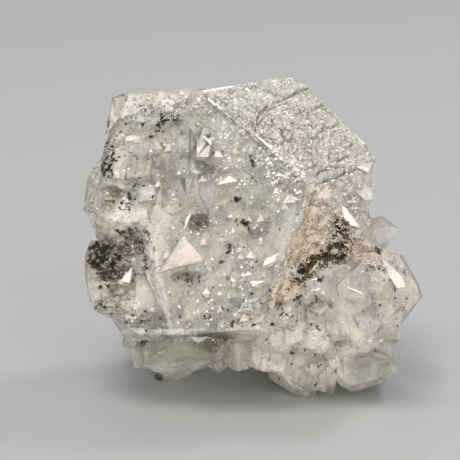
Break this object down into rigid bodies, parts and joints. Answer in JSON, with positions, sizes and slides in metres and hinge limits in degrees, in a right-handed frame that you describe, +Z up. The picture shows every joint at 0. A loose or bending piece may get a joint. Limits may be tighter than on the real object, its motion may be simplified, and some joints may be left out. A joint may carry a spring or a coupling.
{
  "type": "quartz crystal",
  "caption": "Hand-sized quartz cluster: one large tabular crystal with an etched side face and growth hillocks, and smaller crystals grown round and under it.",
  "frame": {"origin": "middle of the base, on the ground under the specimen as it rests", "axes": "+Z up, +X to the specimen's right as seen from its front, -Y out of its front; the large crystal's c axis points out of the front and a little up"},
  "size_m": [0.0674, 0.051, 0.059],
  "materials": {
    "quartz": "translucent milky quartz with glassy faces, dark inclusions and an iron-stained ridge"
  },
  "bodies": {
    "root": {"quartz_cluster": "quartz"}
  },
  "joints": []
}
